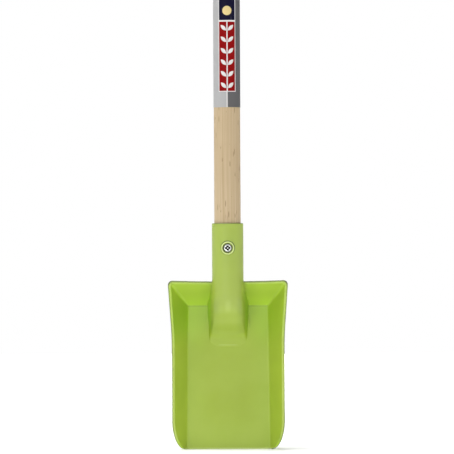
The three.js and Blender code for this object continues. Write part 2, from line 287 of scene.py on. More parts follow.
bladeLook = {
    "skinDepth": 9,
    "skinScale": 0.99,
    "softenPasses": 5,
    "softenIn": 0.5,
    "softenOut": -0.51,  # puts back the size that softening takes away
    "facesKept": 0.22,
    "front": (0, -0.9962, 0.0872),  # the floor leans back by 5 degrees
    "up": (0, 0.0872, 0.9962),
    "halfWall": 1.1 * mm,
    "footTop": 121 * mm,  # from here down the ramp spreads and sinks into the floor
    "footLow": 101 * mm,
    "footSpread": 3.2 * mm,
    "footSink": 0.45,
    "footEdge": 17 * mm,
    "footReach": 30 * mm,
    "flankPasses": 14,
    "flankReach": 21 * mm,
    "flankTurn": 0.45,  # least turn outward of a surface that counts as flank
    "flankHeight": 1.3 * mm,
    "flankLow": 99 * mm,
    "flankTop": 142 * mm,
    "lime": colour(170, 194, 58),
    "limeDeep": colour(165, 190, 52),
    "limePale": colour(222, 238, 150),
    "limeShade": colour(92, 118, 12),
    "limeWorn": colour(162, 184, 64),
    "limeGreen": colour(150, 204, 4),
    "limeLit": colour(190, 225, 60),
    "limeVividShade": colour(165, 222, 18),
    "limeLeftShade": colour(95, 165, 0),
    "limeDeepShade": colour(108, 138, 0),
    "limeFresh": colour(168, 203, 46),
    "limeDull": colour(161, 184, 42),
    "edgeShade": colour(106, 122, 46),
    "edgeDeepShade": colour(58, 68, 16),
    "gapShade": colour(56, 70, 24),
    "roughness": 0.46,
    "grainSize": 0.35,
    "mottleSize": 45.0,
    "scuffStretch": (1400, 500, 90),
    "scuffTint": 0.12,
    "turnedFront": (0.1, 0.4),  # how far a surface that counts as front faces forward
    "turnedFlat": (0.3, 0.7),
    "turnedAside": (0.3, 0.6),
    "turnedDown": (-0.7, -0.4),
    "freshZ": inMm(88, 122),
    "freshAmount": 0.75,
    "heelZ": inMm(137, 150),
    "heelAmount": 0.7,
    "wallAside": inMm(34, 36),
    "cornerZ": inMm(136, 150),
    "cornerAmount": 0.6,
    "upperZ": inMm(108, 142, 14),
    "vividShadeAmount": 0.15,
    "leftShadeAmount": 0.22,
    "rimTurn": (0.7, 0.95),
    "rimHeight": inMm(3.5, 5),
    "rimAside": inMm(17, 19),
    "rimAmount": 0.16,
    "edgeReach": 1.5 * mm,
    "edgeTurn": (0.0, 0.3),
    "edgeHeight": inMm(1, 3),
    "edgeAside": inMm(24, 28),
    "edgeOut": (0.08, 0.3),
    "edgeAmount": 0.8,
    "heelEdgeOut": (-0.06, 0.12),
    "heelEdgeAmount": 0.85,
    "heelEdgeAside": inMm(20, 22),
    "heelEdgeZ": inMm(138, 146),
    "besideSocket": inMm(14.6, 15.4),  # there only the top edge gets painted shade
    "besideSocketZ": inMm(147.6, 149),
    "steepTurn": (0.15, 0.45),
    "steepBack": (-0.2, 0.0),
    "steepAside": inMm(19, 21),
    "steepZ": inMm(148, 156),
    "steepAmount": 0.55,
    "rightShadeX": inMm(0, 10),
    "rightShadeAmount": 0.7,
    "dullAside": inMm(12, 34),
    "dullHeight": inMm(5, 9),
    "dullZ": inMm(28, 132, 14),
    "cuttingEdgeZ": inMm(0.5, 2),
    "cuttingEdgeAmount": 0.5,
    "wornHeight": inMm(3.5, 7),
    "wornAside": inMm(15, 18),
    "sidesZ": inMm(112, 143, 7),
    "sidesAside": inMm(6, 13),
    "sidesAmount": 0.26,
    "sidesX": inMm(-10, 10),
    "sidesLeft": 0.9,
    "sidesRight": 1.3,
    "slopeTurn": (0.5, 0.72, 0.1),
    "slopeZ": inMm(113, 126, 6),
    "slopeAmount": 0.15,
    "crownZ": inMm(131, 141, 3),
    "crownAside": inMm(0.5, 4.5),
    "crownAmount": 0.13,
    "tipZ": inMm(98.5, 99.3, 0.3),
    "tipAside": inMm(5.5, 11),
    "tipAmount": 0.22,
    "creaseZ": inMm(135.1, 136.6, 0.4),
    "creaseHeight": inMm(0.4, 3.2, 0.3),
    "creaseAside": inMm(17.5, 38, 0.5),
    "creaseAmount": 0.2,
    "gapInner": 4.15 * mm,  # rings round the screw
    "ringInner": 4.85 * mm,
    "ringOuter": 6.1 * mm,
    "shadeOuter": 7.1 * mm,
    "ringSoft": 0.2 * mm,
    "ringAmount": 0.9,
    "gapAmount": 0.6,
    "mostShaded": (0.5, 0, 0.87),  # side of the boss where the painted shade is darkest
    "shadeReach": inMm(-4, 5),
    "shadeLeast": 0.25,
    "lipDepth": 0.75 * mm,  # painted shade along the edge of the socket's mouth
    "lipAmount": 0.75,
}


# where a point lies on the blade and which way its surface faces
def bladeSpots(tree, place):
    look = bladeLook
    split = splitVector(tree, place)
    facing = addNode(tree, "NewGeometry").outputs["Normal"]
    rounded = addNode(tree, "Bevel", {"Radius": look["edgeReach"]}, samples=8).outputs[0]
    outward = splitVector(tree, rounded)[0]
    return {
        "place": place,
        "x": split[0],
        "y": split[1],
        "z": split[2],
        "aside": math2(tree, "ABSOLUTE", split[0]),
        "height": dotProduct(tree, place, look["front"]),
        "ahead": dotProduct(tree, facing, look["front"]),
        "tilted": dotProduct(tree, facing, look["up"]),
        "askew": math2(tree, "ABSOLUTE", splitVector(tree, facing)[0]),
        # the same turns with the edges rounded off
        "sideways": product(tree, outward, math2(tree, "SIGN", split[0])),
        "upward": dotProduct(tree, rounded, look["up"]),
    }


# less worn towards the heel; painted light on the downward-facing heel wall and the side walls'
# upper part; painted shade, a deeper green, lower on the side walls and most on the left one
def tintWalls(tree, at, base):
    look = bladeLook
    front = mapRange(tree, at["ahead"], *look["turnedFront"])
    fresh = product(
        tree,
        mapRange(tree, at["z"], *look["freshZ"], 0.0, look["freshAmount"]),
        front,
        fadeOut(tree, at["askew"], *look["turnedAside"]),
    )
    base = mixColour(tree, fresh, base, look["limeFresh"])
    # painted light: the heel wall, which faces down, made brighter
    heel = product(
        tree,
        fadeOut(tree, at["tilted"], *look["turnedDown"]),
        front,
        mapRange(tree, at["z"], *look["heelZ"], look["heelAmount"], 0.0),
    )
    base = mixColour(tree, heel, base, look["limeLit"])
    # painted light near the top of the side walls, painted shade as a deeper green below it,
    # darkest on the left wall
    walls = product(
        tree,
        mapRange(tree, at["aside"], *look["wallAside"]),
        mapRange(tree, at["askew"], *look["turnedAside"]),
        front,
    )
    corner = mapRange(tree, at["z"], *look["cornerZ"], 0.0, look["cornerAmount"])
    base = mixColour(tree, product(tree, walls, corner), base, look["limeLit"])
    upper = product(tree, walls, inBand(tree, at["z"], *look["upperZ"]))
    base = mixColour(tree, product(tree, upper, look["vividShadeAmount"]), base, look["limeVividShade"])
    left = product(tree, upper, math2(tree, "LESS_THAN", at["x"], 0.0), look["leftShadeAmount"])
    return mixColour(tree, left, base, look["limeLeftShade"])


# what faces the front near a free edge of the blade
def nearEdges(tree, at):
    front = mapRange(tree, at["ahead"], *bladeLook["edgeTurn"])
    return product(tree, front, mapRange(tree, at["height"], *bladeLook["edgeHeight"]))


# painted highlight along the rim's front face, and painted shade along its outer edge on both
# sides
def tintRim(tree, at, base):
    look = bladeLook
    rim = product(
        tree,
        mapRange(tree, at["ahead"], *look["rimTurn"]),
        mapRange(tree, at["height"], *look["rimHeight"]),
        mapRange(tree, at["aside"], *look["rimAside"], 0.0, look["rimAmount"]),
    )
    base = mixColour(tree, rim, base, look["limePale"])
    # painted shade where the rounded edge turns outward
    edge = product(
        tree,
        nearEdges(tree, at),
        mapRange(tree, at["aside"], *look["edgeAside"]),
        mapRange(tree, at["sideways"], *look["edgeOut"], 0.0, look["edgeAmount"]),
    )
    return mixColour(tree, edge, base, look["edgeShade"])


# painted shade: steep flanks of the ramp a deeper green, the right one darker still
def tintFlanks(tree, at, base):
    look = bladeLook
    steep = product(
        tree,
        mapRange(tree, at["ahead"], *look["steepTurn"], look["steepAmount"], 0.0),
        mapRange(tree, at["ahead"], *look["steepBack"]),
        fadeOut(tree, at["aside"], *look["steepAside"]),
        fadeOut(tree, at["z"], *look["steepZ"]),
    )
    base = mixColour(tree, steep, base, look["limeGreen"])
    rightShade = mapRange(tree, at["x"], *look["rightShadeX"], 0.0, look["rightShadeAmount"])
    return mixColour(tree, product(tree, steep, rightShade), base, look["limeDeepShade"])


# middle of the floor a duller green; painted light along the cutting edge, lifting the shade
# beneath it
def tintFloor(tree, at, base, mottle):
    look = bladeLook
    dull = product(
        tree,
        fadeOut(tree, at["aside"], *look["dullAside"]),
        fadeOut(tree, at["height"], *look["dullHeight"]),
        inBand(tree, at["z"], *look["dullZ"]),
        mapRange(tree, mottle, 0.3, 0.6, 0.6, 1.0),
        mapRange(tree, at["ahead"], *look["turnedFlat"]),
    )
    base = mixColour(tree, dull, base, look["limeDull"])
    # painted light along the cutting edge
    cutting = mapRange(tree, at["z"], *look["cuttingEdgeZ"], look["cuttingEdgeAmount"], 0.0)
    return mixColour(tree, cutting, base, look["limePale"])


# socket and ramp dulled by handling; painted shade along the sides of the bend and ramp; painted
# highlights on the slope and the crown of the bend
def tintSocket(tree, at, base):
    look = bladeLook
    worn = product(
        tree,
        mapRange(tree, at["height"], *look["wornHeight"]),
        fadeOut(tree, at["aside"], *look["wornAside"]),
    )
    base = mixColour(tree, worn, base, look["limeWorn"])
    # painted shade on the sides of the bend and ramp, stronger on the right
    sides = product(
        tree,
        worn,
        inBand(tree, at["z"], *look["sidesZ"]),
        mapRange(tree, at["aside"], *look["sidesAside"], 0.0, look["sidesAmount"]),
        mapRange(tree, at["x"], *look["sidesX"], look["sidesLeft"], look["sidesRight"]),
    )
    base = mixColour(tree, sides, base, look["limeDeepShade"])
    # painted highlight on the slope
    slope = product(
        tree,
        worn,
        inBand(tree, at["ahead"], *look["slopeTurn"]),
        inBand(tree, at["z"], *look["slopeZ"]),
        look["slopeAmount"],
    )
    base = mixColour(tree, slope, base, look["limePale"])
    # painted highlight on the crown of the bend
    crown = product(
        tree,
        worn,
        inBand(tree, at["z"], *look["crownZ"]),
        mapRange(tree, at["aside"], *look["crownAside"], look["crownAmount"], 0.0),
    )
    return mixColour(tree, crown, base, look["limePale"])


# painted shade along the heel's edge, a painted highlight where the ramp runs out, painted shade
# in the heel crease
def tintLines(tree, at, base):
    look = bladeLook
    along = product(
        tree,
        mapRange(tree, at["aside"], *look["heelEdgeAside"]),
        mapRange(tree, at["z"], *look["heelEdgeZ"]),
    )
    beside = product(
        tree,
        mapRange(tree, at["aside"], *look["besideSocket"]),
        mapRange(tree, at["z"], *look["besideSocketZ"]),
    )
    # painted shade along the edge
    edge = product(
        tree,
        nearEdges(tree, at),
        mapRange(tree, at["upward"], *look["heelEdgeOut"], 0.0, look["heelEdgeAmount"]),
        math2(tree, "MAXIMUM", along, beside),
    )
    base = mixColour(tree, edge, base, look["edgeDeepShade"])
    # painted highlight where the ramp runs out
    tip = product(
        tree,
        inBand(tree, at["z"], *look["tipZ"]),
        mapRange(tree, at["aside"], *look["tipAside"], look["tipAmount"], 0.0),
        mapRange(tree, at["ahead"], *look["turnedFlat"]),
    )
    base = mixColour(tree, tip, base, look["limePale"])
    # painted shade in the crease
    crease = product(
        tree,
        inBand(tree, at["z"], *look["creaseZ"]),
        inBand(tree, at["height"], *look["creaseHeight"]),
        inBand(tree, at["aside"], *look["creaseAside"]),
        look["creaseAmount"],
    )
    return mixColour(tree, crease, base, look["limeDeepShade"])


# plastic pressed pale round the screw, with painted shade in the gap inside it and round the boss
# outside; painted shade along the socket's mouth
def tintScrewSeat(tree, at, base):
    look = bladeLook
    fromScrew = vector2(tree, "SUBTRACT", at["place"], (0, 0, screwZ))
    flat = vector2(tree, "MULTIPLY", fromScrew, (1, 0, 1))
    reach = lengthOf(tree, flat)
    front = math2(tree, "LESS_THAN", at["y"], axisY)
    above = dotProduct(tree, flat, look["mostShaded"])
    shadeWeight = mapRange(tree, above, *look["shadeReach"], look["shadeLeast"], 1.0)
    # painted shade round the boss and in the gap; the pale ring is pressed plastic
    rings = (
        (look["ringOuter"], look["shadeOuter"], look["limeShade"], shadeWeight),
        (look["ringInner"], look["ringOuter"], look["limePale"], look["ringAmount"]),
        (look["gapInner"], look["ringInner"], look["gapShade"], look["gapAmount"]),
    )
    for inner, outer, tint, amount in rings:
        ring = product(tree, inBand(tree, reach, inner, outer, look["ringSoft"]), amount, front)
        base = mixColour(tree, ring, base, tint)
    # painted shade just below the socket's mouth
    below = math2(tree, "SUBTRACT", bladeTop, at["z"])
    depth = look["lipDepth"]
    lip = mapRange(tree, below, depth * 0.6, depth * 1.4, look["lipAmount"], 0.0)
    return mixColour(tree, lip, base, look["edgeShade"])


def makeLimePlastic():
    look = bladeLook
    material, tree, bsdf = newMaterial(
        "limePlastic", Roughness=look["roughness"], IOR=1.49, Specular_IOR_Level=0.8)
    place = objectPlace(tree)
    at = bladeSpots(tree, place)
    grain = useGroup(tree, surfaceGrain, {
        "Coordinates": place, "Grain Size": look["grainSize"], "Mottle Size": look["mottleSize"]})
    scuff = useGroup(tree, handlingScuffs, {
        "Coordinates": place, "Stretch": look["scuffStretch"], "Amount": 0.5})["Scuff"]
    mottle = grain["Mottle"]
    base = mixColour(tree, mapRange(tree, mottle, 0.35, 0.65), look["lime"], look["limeDeep"])
    base = mixColour(tree, product(tree, scuff, look["scuffTint"]), base, look["limePale"])
    base = tintWalls(tree, at, base)
    base = tintRim(tree, at, base)
    base = tintFlanks(tree, at, base)
    base = tintFloor(tree, at, base, mottle)
    base = tintSocket(tree, at, base)
    base = tintLines(tree, at, base)
    base = tintScrewSeat(tree, at, base)
    rough = mapRange(tree, mottle, 0.3, 0.7, look["roughness"] - 0.05, look["roughness"] + 0.05)
    rough = math2(tree, "ADD", rough, product(tree, scuff, 0.15))
    finishShader(tree, bsdf, base, rough, grain["Grain"], 0.12, 0.05 * mm)
    return material


def addSoftening(piece, strength):
    soften = piece.modifiers.new("soften", "SMOOTH")
    soften.factor = strength
    soften.iterations = 1


# edges where more than two faces meet are closed up
def mendPinches(mesh):
    bm = bmesh.new()
    bm.from_mesh(mesh)
    pinches = [edge for edge in bm.edges if len(edge.link_faces) > 2]
    bmesh.ops.collapse(bm, edges=pinches)
    bm.to_mesh(mesh)
    bm.free()
    print("pinched edges closed:", len(pinches))


def onFlank(vertex):
    look = bladeLook
    place = vertex.co
    outward = vertex.normal.x * math.copysign(1, place.x)
    if abs(place.x) >= look["flankReach"] or outward <= look["flankTurn"]:
        return False
    inside = look["flankLow"] < place.z < look["flankTop"]
    return inside and place.dot(Vector(look["front"])) > look["flankHeight"]


# the ramp's flanks are evened out, down into the corner with the floor:
# each point moves in or out only, halfway to the mean of its neighbours
def easeFlanks(mesh):
    bm = bmesh.new()
    bm.from_mesh(mesh)
    bm.normal_update()
    flanks = [vertex for vertex in bm.verts if onFlank(vertex)]
    for turn in range(bladeLook["flankPasses"]):
        shifts = []
        for vertex in flanks:
            around = [edge.other_vert(vertex).co for edge in vertex.link_edges]
            mean = sum(around, Vector()) / len(around)
            shifts.append(vertex.normal * (mean - vertex.co).dot(vertex.normal) / 2)
        for vertex, shift in zip(flanks, shifts):
            vertex.co += shift
        bm.normal_update()
    bm.to_mesh(mesh)
    bm.free()
    print("flank points evened:", len(flanks))


# the ramp's foot sinks towards the floor and spreads sideways
def spreadFoot(mesh):
    look = bladeLook
    front = Vector(look["front"])
    for vertex in mesh.vertices:
        place = vertex.co
        share = 1 - smoothStep(look["footLow"], look["footTop"], place.z)
        inside = 1 - smoothStep(look["footEdge"], look["footReach"], abs(place.x))
        proud = place.dot(front) - look["halfWall"]
        if proud > 0 and abs(place.x) < look["footReach"]:
            vertex.co -= front * proud * look["footSink"] * share * inside
        outward = math.copysign(look["footSpread"] * share * inside, place.x)
        vertex.co.x += outward * min(1, abs(place.x) / look["footEdge"])


def makeBlade():
    look = bladeLook
    bm = bmesh.new()
    bm.from_mesh(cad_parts["blade"].data)
    bmesh.ops.remove_doubles(bm, verts=bm.verts, dist=0.5e-6)
    blank = pieceFromBmesh("bladeBlank", bm)
    even = blank.modifiers.new("evenSkin", "REMESH")
    even.mode = "SHARP"
    even.octree_depth = look["skinDepth"]
    even.scale = look["skinScale"]
    even.use_remove_disconnected = False
    for turn in range(look["softenPasses"]):
        addSoftening(blank, look["softenIn"])
        addSoftening(blank, look["softenOut"])
    thin = blank.modifiers.new("thinOut", "DECIMATE")
    thin.ratio = look["facesKept"]
    ready = blank.evaluated_get(bpy.context.evaluated_depsgraph_get())
    mesh = bpy.data.meshes.new_from_object(ready)
    bpy.data.objects.remove(blank)
    mendPinches(mesh)
    easeFlanks(mesh)
    spreadFoot(mesh)
    piece = pieceFromMesh("bladeMoulding", mesh)
    finishPiece(piece, makeLimePlastic(), "blade")


makeBlade()


# shaft: a turned rod with a rounded top

shaftLook = {
    "steps": 144,
    "rows": 24,
    "domeRows": 14,
    "domeHeight": 7 * mm,
    "chamfer": 1.5 * mm,
    "pale": colour(213, 192, 158),
    "middle": colour(202, 179, 142),
    "dark": colour(185, 159, 121),
    "roughness": 0.62,
    "ringWidth": 2.6 * mm,
    "ringAmount": 0.14,
    "pith": (55 * mm, 40 * mm, 0),  # middle of the tree, beside the rod
    "pithWander": inMm(8, 8, 0),
    "wanderScale": (20, 20, 3),
    "fibreScale": (900, 900, 14),
    "fleck": colour(140, 110, 74),
    "fleckAmount": 0.7,
    "fleckWidth": 1.5 * mm,
    "fleckLength": 11 * mm,
    "fleckGroups": 45.0,
    "mouthShade": colour(104, 80, 50),
    "mouthShadeHeight": 0.5 * mm,  # above the socket's mouth
    "mouthShadeAmount": 0.6,
}


# growth rings round a pith that wanders along the rod
def growthRings(tree, place):
    look = shaftLook
    wander = addNoise(tree, vector2(tree, "MULTIPLY", place, look["wanderScale"]), 1.0, 2.0)
    shifted = vector2(tree, "MULTIPLY", wander["Color"], look["pithWander"])
    fromPith = vector2(tree, "SUBTRACT", place, look["pith"])
    fromPith = vector2(tree, "ADD", fromPith, shifted)
    reach = lengthOf(tree, vector2(tree, "MULTIPLY", fromPith, (1, 1, 0)))
    year = math2(tree, "FRACT", math2(tree, "DIVIDE", reach, look["ringWidth"]))
    return mapRange(tree, year, 0.35, 0.95)


# short dark flecks in loose groups
def woodFlecks(tree, place):
    look = shaftLook
    squeeze = (1 / look["fleckWidth"], 1 / look["fleckWidth"], 1 / look["fleckLength"])
    short = vector2(tree, "MULTIPLY", place, squeeze)
    cells = addNode(tree, "TexVoronoi", {"Vector": short, "Scale": 1.0}).outputs
    chosen = addNode(tree, "SeparateColor", {0: cells["Color"]}).outputs[0]
    groups = addNoise(tree, place, look["fleckGroups"], 1.0)
    many = mapRange(tree, groups["Fac"], 0.42, 0.6, 0.92, 0.5)
    fleck = fadeOut(tree, cells["Distance"], 0.18, 0.36)
    return product(tree, fleck, math2(tree, "GREATER_THAN", chosen, many))


def makePaleWood():
    look = shaftLook
    material, tree, bsdf = newMaterial("paleWood", Roughness=look["roughness"], IOR=1.45)
    place = objectPlace(tree)
    grain = useGroup(tree, surfaceGrain, {
        "Coordinates": place, "Grain Size": 0.5, "Mottle Size": 80.0})
    fibre = addNoise(
        tree, vector2(tree, "MULTIPLY", place, look["fibreScale"]), 1.0, 4.0, 0.6)["Fac"]
    fleck = woodFlecks(tree, place)
    fibreTone = mapRange(tree, fibre, 0.0, 1.0, 0.1, 0.85, smooth=False)
    rings = product(tree, growthRings(tree, place), look["ringAmount"])
    ramp = addNode(tree, "ValToRGB", {0: math2(tree, "ADD", rings, fibreTone)})
    stops = ramp.color_ramp.elements
    stops[0].position = 0.3
    stops[0].color = look["pale"]
    stops[1].position = 0.85
    stops[1].color = look["dark"]
    stops.new(0.55).color = look["middle"]
    flecked = product(tree, fleck, look["fleckAmount"])
    base = mixColour(tree, flecked, ramp.outputs[0], look["fleck"])
    mottled = mapRange(tree, grain["Mottle"], 0.4, 0.75, 0.0, 0.25)
    base = mixColour(tree, mottled, base, look["dark"])
    # painted shade: a dark line where the rod goes into the socket
    above = math2(tree, "SUBTRACT", splitVector(tree, place)[2], bladeTop)
    high = look["mouthShadeHeight"]
    mouthShade = mapRange(tree, above, high * 0.6, high * 1.4, look["mouthShadeAmount"], 0.0)
    base = mixColour(tree, mouthShade, base, look["mouthShade"])
    rough = mapRange(tree, fibre, 0.3, 0.7, look["roughness"] - 0.08, look["roughness"] + 0.08)
    relief = math2(tree, "SUBTRACT", fibre, product(tree, fleck, 0.5))
    finishShader(tree, bsdf, base, rough, relief, 0.25, 0.08 * mm)
    return material


def makeShaft():
    look = shaftLook
    radius = (shaftHigh.x - shaftLow.x) / 2
    shoulder = shaftHigh.z - look["domeHeight"]
    length = shoulder - shaftLow.z
    profile = [(radius - look["chamfer"], shaftLow.z), (radius, shaftLow.z + look["chamfer"])]
    for i in range(1, look["rows"]):
        profile.append((radius, shaftLow.z + length * i / look["rows"]))
    for i in range(look["domeRows"] - 1):
        angle = math.pi / 2 * i / look["domeRows"]
        z = shoulder + look["domeHeight"] * math.sin(angle)
        profile.append((radius * math.cos(angle), z))
    bm = bmesh.new()
    rings = []
    for reach, z in profile:
        rings.append(roundRing(bm, reach, look["steps"], lambda a, b, z=z: (a, axisY + b, z)))
    bridgeRings(bm, rings)
    capRing(bm, rings[0], (0, axisY, shaftLow.z))
    capRing(bm, rings[-1], (0, axisY, shaftHigh.z))
    finishPiece(pieceFromBmesh("shaftRod", bm), makePaleWood(), "shaft")


makeShaft()


# label: a printed film round the shaft with its corners cut round at the seam

labelLook = {
    "thickness": 0.2 * mm,
    "seam": 3 * mm,
    "cornerRadius": 3 * mm,
    "cornerRows": 8,
    "across": 120,
    "up": 60,
    "paleGrey": colour(188, 188, 188),
    "darkGrey": colour(104, 103, 104),
    "white": colour(236, 234, 232),
    "red": colour(146, 4, 6),
    "navy": colour(8, 6, 40),
    "cream": colour(236, 214, 150),
    "roughness": 0.4,
    "printSoft": 0.06 * mm,
    "splitX": 0.2 * mm,
    "lineWidth": 1.0 * mm,
    "panelLow": 15.3 * mm,  # red panel, above the label's lower edge
    "panelHigh": 81 * mm,
    "panelHalfWidth": 7.9 * mm,
    "panelMiddle": 0.4 * mm,
    "keyline": 0.7 * mm,
    "navyLow": 82.5 * mm,
    "navyHigh": 157 * mm,
    "leafPitch": 10.9 * mm,
    "leafHalfLength": 3.7 * mm,
    "leafHalfWidth": 1.7 * mm,
    "leafOut": 3.5 * mm,  # middle of a leaf, from the stem
    "stem": 0.55 * mm,
    "dotPitch": 18 * mm,
    "dotRadius": 4.4 * mm,
    "scuffStretch": (500, 500, 60),
    "scuffTint": 0.15,
}


# distance from the middle of the nearest repeat of a motif up the label
def repeated(tree, up, start, pitch):
    step = math2(tree, "FRACT", math2(tree, "DIVIDE", math2(tree, "SUBTRACT", up, start), pitch))
    return product(tree, math2(tree, "SUBTRACT", step, 0.5), pitch)


# a stem with pairs of slanting leaves, each between two round arcs
def printSprig(tree, out, up):
    look = labelLook
    soft = look["printSoft"]
    along = repeated(tree, up, look["panelLow"], look["leafPitch"])
    beside = math2(tree, "SUBTRACT", out, look["leafOut"])
    slant = math.sqrt(0.5)
    length = product(tree, math2(tree, "ADD", along, beside), slant / look["leafHalfLength"])
    aside = product(tree, math2(tree, "SUBTRACT", along, beside), slant)
    bulge = math2(tree, "SUBTRACT", 1.0, product(tree, length, length))
    half = product(tree, bulge, look["leafHalfWidth"])
    gap = math2(tree, "SUBTRACT", half, math2(tree, "ABSOLUTE", aside))
    leaf = mapRange(tree, gap, -soft, soft)
    stem = fadeOut(tree, out, look["stem"] - soft, look["stem"] + soft)
    return math2(tree, "MAXIMUM", leaf, stem)


def printSpots(tree, out, up):
    look = labelLook
    soft = look["printSoft"]
    climb = repeated(tree, up, look["navyLow"], look["dotPitch"])
    reach = lengthOf(tree, addNode(tree, "CombineXYZ", {0: out, 1: climb}).outputs[0])
    return fadeOut(tree, reach, look["dotRadius"] - soft, look["dotRadius"] + soft)


def makeLabelFilm():
    look = labelLook
    material, tree, bsdf = newMaterial(
        "labelFilm", Roughness=look["roughness"], IOR=1.48, Specular_IOR_Level=0.1)
    place = objectPlace(tree)
    split = splitVector(tree, place)
    radius = (labelHigh.x - labelLow.x) / 2
    # x and y turned into a distance round the shaft, 0 at the front
    turn = math2(tree, "ARCTAN2", split[0], math2(tree, "SUBTRACT", axisY, split[1]))
    across = product(tree, turn, radius)
    up = math2(tree, "SUBTRACT", split[2], labelLow.z)
    soft = look["printSoft"]
    middle = look["panelMiddle"]
    key = look["keyline"]
    wide = look["panelHalfWidth"]

    def panel(low, high, halfWidth):
        within = inBand(tree, across, middle - halfWidth, middle + halfWidth, soft)
        return product(tree, within, inBand(tree, up, low, high, soft))

    # two greys with a white line between, and two framed panels on them
    side = mapRange(tree, across, look["splitX"] - soft, look["splitX"] + soft)
    base = mixColour(tree, side, look["paleGrey"], look["darkGrey"])
    halfLine = look["lineWidth"] / 2
    line = inBand(tree, across, look["splitX"] - halfLine, look["splitX"] + halfLine, soft)
    base = mixColour(tree, line, base, look["white"])
    outer = panel(look["panelLow"] - key, look["navyHigh"] + key, wide + key)
    inner = panel(look["panelLow"], look["panelHigh"], wide)
    upper = panel(look["navyLow"], look["navyHigh"], wide)
    base = mixColour(tree, outer, base, look["white"])
    base = mixColour(tree, inner, base, look["red"])
    base = mixColour(tree, upper, base, look["navy"])
    out = math2(tree, "ABSOLUTE", math2(tree, "SUBTRACT", across, middle))
    sprig = product(tree, printSprig(tree, out, up), inner)
    base = mixColour(tree, sprig, base, look["white"])
    spots = product(tree, printSpots(tree, out, up), upper)
    base = mixColour(tree, spots, base, look["cream"])
    grain = useGroup(tree, surfaceGrain, {
        "Coordinates": place, "Grain Size": 0.3, "Mottle Size": 25.0})
    scuff = useGroup(tree, handlingScuffs, {
        "Coordinates": place, "Stretch": look["scuffStretch"], "Amount": 0.6})["Scuff"]
    base = mixColour(tree, product(tree, scuff, look["scuffTint"]), base, look["white"])
    low, high = look["roughness"] - 0.06, look["roughness"] + 0.06
    rough = mapRange(tree, grain["Mottle"], 0.3, 0.7, low, high)
    finishShader(tree, bsdf, base, rough, grain["Grain"], 0.1, 0.04 * mm)
    return material


# heights of the label's rows, which crowd together in the rounded corners
def labelRows(length):
    look = labelLook
    corner = look["cornerRadius"]
    count = look["cornerRows"]
    ends = [corner * (1 - math.cos(math.pi / 2 * i / count)) for i in range(count)]
    plain = length - 2 * corner
    rows = [corner + plain * i / look["up"] for i in range(look["up"] + 1)]
    return ends + rows + [length - height for height in reversed(ends)]


def makeLabel():
    look = labelLook
    outer = (labelHigh.x - labelLow.x) / 2
    inner = outer - look["thickness"]
    length = labelHigh.z - labelLow.z
    corner = look["cornerRadius"]
    halfRound = math.pi * outer - look["seam"] / 2
    bm = bmesh.new()
    skins = []
    for radius in (inner, outer):
        rows = []
        for height in labelRows(length):
            rest = max(0, corner - min(height, length - height))
            half = halfRound - corner + math.sqrt(corner ** 2 - rest ** 2)
            row = []
            for i in range(look["across"] + 1):
                angle = half / outer * (-1 + 2 * i / look["across"])
                x = radius * math.sin(angle)
                y = axisY - radius * math.cos(angle)
                row.append(bm.verts.new((x, y, labelLow.z + height)))
            rows.append(row)
        bridgeRings(bm, rows, closed=False)
        skins.append(rows)
    # the edge all round joins the two skins
    loops = []
    for rows in skins:
        sides = [row[-1] for row in rows[1:]] + list(reversed(rows[-1][:-1]))
        loops.append(rows[0] + sides + [row[0] for row in reversed(rows[1:-1])])
    bridgeRings(bm, loops)
    finishPiece(pieceFromBmesh("labelWrap", bm), makeLabelFilm(), "shaft_label")


makeLabel()


# screw: a pan head with a cross recess on a plain shank

screwLook = {
    "steps": 160,
    "rings": 44,
    "headHeight": 2.2 * mm,
    "headRounding": 1.5 * mm,
    "headFullness": 6,  # the higher, the flatter the head
    "edgeBreak": 0.15 * mm,
    "shankDiameter": 4.2 * mm,
    "shankFillet": 0.2 * mm,
    "pointLength": 5 * mm,
    "pointRadius": 0.3 * mm,
    "armLength": 2.6 * mm,
    "armWidth": 1.3 * mm,
    "armTaper": 0.35,
    "armRise": 0.55,
    "recessDepth": 1.5 * mm,
    "recessSoft": 0.1 * mm,
    "floorRadius": 0.75 * mm,  # bright flat in the middle of the recess
    "turn": math.radians(4),
    "zinc": colour(228, 231, 226),
    "zincDull": colour(196, 199, 194),
    "recessShade": colour(6, 6, 6),
    "roughness": 0.3,
}


def makeZincSteel():
    look = screwLook
    material, tree, bsdf = newMaterial("zincSteel", Roughness=look["roughness"], Metallic=1.0)
    place = objectPlace(tree)
    grain = useGroup(tree, surfaceGrain, {
        "Coordinates": place, "Grain Size": 0.25, "Mottle Size": 3.0})
    mottle = grain["Mottle"]
    base = mixColour(tree, mapRange(tree, mottle, 0.35, 0.65), look["zinc"], look["zincDull"])
    # painted shade in the recess and round the head's edge; the recess's flat floor is left bright
    split = splitVector(tree, place)
    depth = math2(tree, "SUBTRACT", split[1], screwLow.y)
    climb = math2(tree, "SUBTRACT", split[2], screwZ)
    reach = lengthOf(tree, addNode(tree, "CombineXYZ", {0: split[0], 1: climb}).outputs[0])
    deep, floor = look["recessDepth"], look["floorRadius"]
    inside = mapRange(tree, depth, deep * 0.12, deep * 0.35)
    outside = mapRange(tree, reach, floor * 0.6, floor * 1.2)
    base = mixColour(tree, product(tree, inside, outside), base, look["recessShade"])
    rough = mapRange(tree, mottle, 0.3, 0.7, look["roughness"] - 0.08, look["roughness"] + 0.12)
    finishShader(tree, bsdf, base, rough, grain["Grain"], 0.15, 0.03 * mm)
    return material


